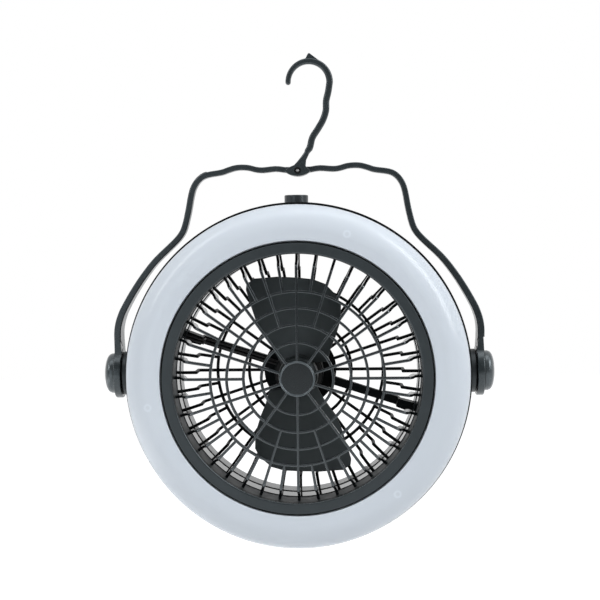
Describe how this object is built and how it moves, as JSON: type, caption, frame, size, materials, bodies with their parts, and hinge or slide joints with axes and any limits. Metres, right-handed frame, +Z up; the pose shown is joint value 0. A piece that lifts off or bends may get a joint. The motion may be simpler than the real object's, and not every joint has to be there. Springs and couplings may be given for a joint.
{
  "type": "portable camping fan",
  "caption": "Round hanging fan with a milky ring light around a guarded duct, a tilting bail handle, a folding hook and a speed dial on top.",
  "frame": {"origin": "centre of the hook's curl, in the middle of its depth: on the axis of the bar it hangs on", "axes": "+Z up when hanging, the fan and light face -Y, +X to the right seen from the front"},
  "size_m": [0.2306, 0.0619, 0.2884],
  "materials": {
    "bail_plastic": "dark grey moulded nylon, fine spark texture",
    "housing_plastic": "dark grey moulded ABS, fine texture",
    "guard_plastic": "dark grey moulded ABS, satin ribs",
    "gloss_black": "black, polished",
    "rotor_plastic": "black, satin",
    "diffuser": "milky translucent, satin",
    "board_white": "white solder mask",
    "board_green": "green solder mask",
    "lamp_yellow": "phosphor under clear resin",
    "screw_steel": "zinc plated",
    "motor_steel": "nickel plated",
    "clamp_black": "black oxide",
    "magnet": "dull ferrite",
    "winding": "enamelled copper and iron core",
    "cell_sleeve": "shrink sleeve over a metal can",
    "wire": "insulated wire",
    "rubber": "matte"
  },
  "bodies": {
    "hook": {"hook": "bail_plastic"},
    "bail": {"bail": "bail_plastic", "hook_screw": "screw_steel", "friction_washers": "rubber", "left_pivot_cap": "bail_plastic", "right_pivot_cap": "bail_plastic"},
    "fan_body": {"rear_housing": "housing_plastic", "rear_grille": "guard_plastic", "inner_frame": "gloss_black", "diffuser_ring": "diffuser", "front_grille": "guard_plastic", "led_board": "board_white", "leds": "lamp_yellow", "pivot_bushings": "screw_steel", "pivot_screws": "screw_steel", "diffuser_screws": "screw_steel", "grille_screws": "screw_steel", "housing_screws": "screw_steel", "motor_can": "motor_steel", "motor_magnets": "magnet", "motor_end_cap": "gloss_black", "motor_clamp": "clamp_black", "motor_screws": "screw_steel", "control_board": "board_green", "speed_switch": "motor_steel", "light_switch": "gloss_black", "charging_socket": "motor_steel", "battery_cells": "cell_sleeve", "battery_clips": "screw_steel", "motor_leads": "wire", "battery_leads": "wire", "led_leads": "wire"},
    "rotor": {"fan_rotor": "rotor_plastic", "motor_shaft": "motor_steel", "motor_armature": "winding"},
    "knob": {"speed_knob": "gloss_black", "switch_shaft": "motor_steel"},
    "button": {"light_button": "rubber"}
  },
  "joints": [
    {"name": "hook_fold", "type": "hinge", "parent": "hook", "child": "bail", "pos_m": [-0.0069, 0, -0.0515], "axis": [0, 1, 0], "range_deg": [0, 110]},
    {"name": "body_tilt", "type": "hinge", "parent": "bail", "child": "fan_body", "pos_m": [-0.0075, 0.006, -0.1703], "axis": [1, 0, 0], "range_deg": [-135, 135]},
    {"name": "fan_spin", "type": "hinge", "parent": "fan_body", "child": "rotor", "pos_m": [-0.0075, 0, -0.1711], "axis": [0, 1, 0], "continuous": true},
    {"name": "knob_turn", "type": "hinge", "parent": "fan_body", "child": "knob", "pos_m": [-0.008, 0.004, -0.0701], "axis": [0, 0, 1], "range_deg": [-270, 0]},
    {"name": "button_press", "type": "slide", "parent": "fan_body", "child": "button", "axis": [0, -1, 0], "range_m": [0, 0.0006], "stiffness_N_per_m": 2000, "springref_m": -0.0005}
  ]
}
